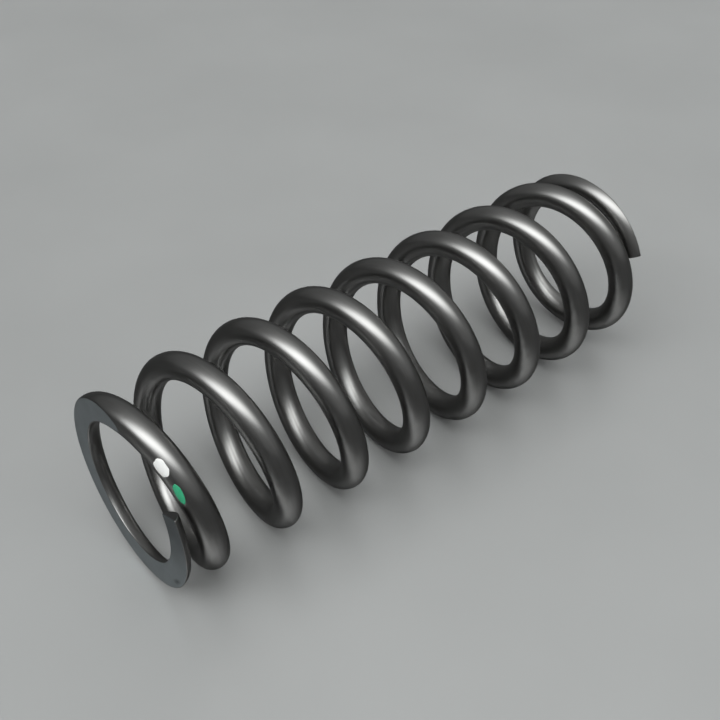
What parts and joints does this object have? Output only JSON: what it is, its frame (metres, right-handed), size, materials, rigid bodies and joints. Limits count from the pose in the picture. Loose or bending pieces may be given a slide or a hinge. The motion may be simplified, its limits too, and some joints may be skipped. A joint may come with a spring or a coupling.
{
  "type": "compression coil spring",
  "caption": "Round-wire steel compression spring for a rear shock absorber, wound right-handed, with closed ends ground flat to sit on spring collars.",
  "frame": {"origin": "on the coil's axis, in the plane of the lower ground face", "axes": "+Z along the coil's axis, from the lower ground face to the upper one; the lower wire tip is 21 degrees from +X towards +Y"},
  "size_m": [0.0864, 0.0864, 0.26],
  "materials": {
    "spring_steel": "dark satin gunmetal",
    "ground_steel": "matt ground",
    "white_paint": "paint dab",
    "green_paint": "paint dab"
  },
  "bodies": {
    "root": {"coil_spring": "spring_steel"}
  },
  "joints": []
}
